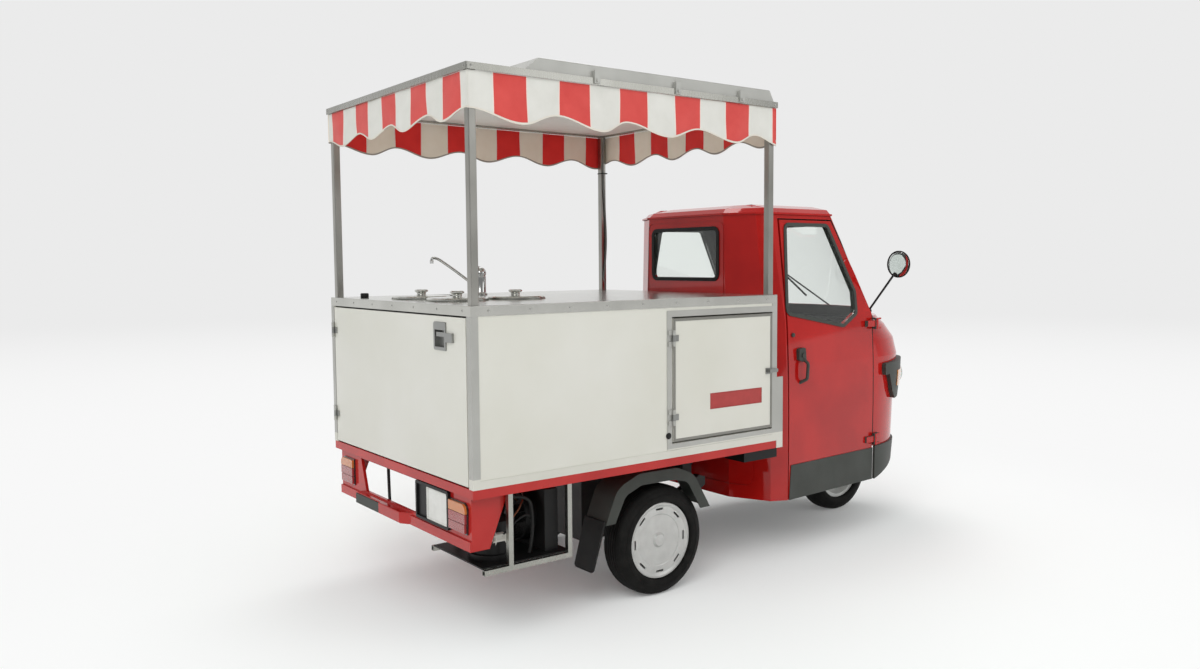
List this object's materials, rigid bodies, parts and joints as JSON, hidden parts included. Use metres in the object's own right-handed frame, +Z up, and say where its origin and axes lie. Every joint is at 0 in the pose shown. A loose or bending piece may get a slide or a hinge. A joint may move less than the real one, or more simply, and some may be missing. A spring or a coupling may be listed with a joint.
{
  "type": "ice cream truck",
  "caption": "Three-wheeled ice cream truck with an enclosed cab, a gelato counter with covered wells, a sink tap, and a canopy on posts with a striped valance.",
  "frame": {"origin": "on the ground, at the middle of the overall length and width", "axes": "+Z up; the truck faces -Y; its right side is -X; +Y runs to the rear bumper"},
  "size_m": [1.244, 2.722, 1.985],
  "materials": {
    "red_paint": "gloss",
    "white_paint": "satin",
    "cream_panel": "satin",
    "stainless": "satin",
    "aluminium_trim": "satin",
    "dark_steel": "satin",
    "dark_plastic": "matte",
    "black_plastic": "matte",
    "tyre_rubber": "matte",
    "wheel_steel": "satin",
    "black_rubber": "matte",
    "clear_glass": "clear",
    "lamp_red": "gloss",
    "lamp_clear": "clear",
    "valance_cloth": "woven",
    "seat_vinyl": "matte",
    "cable_sheath": "matte",
    "tap_chrome": "polished"
  },
  "bodies": {
    "truck": {"deck": "red_paint", "chassis_frame": "dark_steel", "rear_apron": "red_paint", "tail_lamps": "lamp_red", "bumper_pad": "dark_plastic", "basin": "stainless", "cable_tie": "black_plastic", "window_seals": "black_rubber", "plate_bracket": "black_plastic", "swing_arms": "dark_steel", "dampers": "dark_steel", "engine_block": "dark_steel", "rear_fenders": "dark_plastic", "mudflaps": "black_rubber", "spare_wheel": "tyre_rubber", "air_box": "black_plastic", "unit_cradle": "stainless", "cooling_unit": "black_plastic", "box_panels": "cream_panel", "box_frame": "aluminium_trim", "counter_top": "stainless", "wells": "stainless", "tap": "tap_chrome", "canopy_posts": "stainless", "canopy_frame": "stainless", "ceiling": "white_paint", "roof_lid": "aluminium_trim", "valance": "valance_cloth", "post_cable": "cable_sheath", "cab_nose": "red_paint", "cab_frame": "red_paint", "cab_glass": "clear_glass", "cab_roof": "red_paint", "cab_floor": "dark_steel", "dashboard": "black_plastic", "seat": "seat_vinyl", "front_bumper": "dark_plastic", "headlamp_pods": "dark_plastic", "headlamps": "lamp_clear", "mirrors": "black_plastic", "wiper": "black_plastic"},
    "rear_wheel_left": {"rear_tyre_left": "tyre_rubber", "rear_rim_left": "wheel_steel"},
    "rear_wheel_right": {"rear_tyre_right": "tyre_rubber", "rear_rim_right": "wheel_steel"},
    "steering": {"steering_fork": "dark_steel"},
    "front_wheel": {"front_tyre": "tyre_rubber", "front_rim": "wheel_steel"},
    "cab_door_left": {"door_left": "red_paint", "door_glass_left": "clear_glass", "door_trim_left": "dark_plastic"},
    "cab_door_right": {"door_right": "red_paint", "door_glass_right": "clear_glass", "door_trim_right": "dark_plastic"},
    "box_door": {"rear_door": "cream_panel"},
    "box_hatch": {"side_hatch": "cream_panel"},
    "lid_left": {"well_lid_left": "stainless"},
    "lid_right": {"well_lid_right": "stainless"},
    "lid_front": {"well_lid_front": "stainless"}
  },
  "joints": [
    {"name": "left_wheel_spin", "type": "hinge", "parent": "truck", "child": "rear_wheel_left", "pos_m": [0.425, 0.449, 0.217], "axis": [1, 0, 0], "continuous": true},
    {"name": "right_wheel_spin", "type": "hinge", "parent": "truck", "child": "rear_wheel_right", "pos_m": [-0.425, 0.449, 0.217], "axis": [1, 0, 0], "continuous": true},
    {"name": "steer", "type": "hinge", "parent": "truck", "child": "steering", "pos_m": [0, -1.111, 0.217], "axis": [0, 0.3746, 0.9272], "range_deg": [-38, 38]},
    {"name": "front_wheel_spin", "type": "hinge", "parent": "steering", "child": "front_wheel", "pos_m": [0, -1.141, 0.217], "axis": [1, 0, 0], "continuous": true},
    {"name": "left_door_hinge", "type": "hinge", "parent": "truck", "child": "cab_door_left", "pos_m": [0.47, -0.881, 0.6], "axis": [0, 0, 1], "range_deg": [-65, 0]},
    {"name": "right_door_hinge", "type": "hinge", "parent": "truck", "child": "cab_door_right", "pos_m": [-0.47, -0.881, 0.6], "axis": [0, 0, 1], "range_deg": [0, 65]},
    {"name": "box_door_hinge", "type": "hinge", "parent": "truck", "child": "box_door", "pos_m": [0.556, 1.349, 0.8], "axis": [0, 0, 1], "range_deg": [-110, 0]},
    {"name": "box_hatch_hinge", "type": "hinge", "parent": "truck", "child": "box_hatch", "pos_m": [-0.594, 0.484, 0.8], "axis": [0, 0, 1], "range_deg": [-110, 0]},
    {"name": "left_lid_lift", "type": "slide", "parent": "truck", "child": "lid_left", "axis": [0, 0, 1], "range_m": [0, 0.3]},
    {"name": "right_lid_lift", "type": "slide", "parent": "truck", "child": "lid_right", "axis": [0, 0, 1], "range_m": [0, 0.3]},
    {"name": "front_lid_lift", "type": "slide", "parent": "truck", "child": "lid_front", "axis": [0, 0, 1], "range_m": [0, 0.3]}
  ]
}
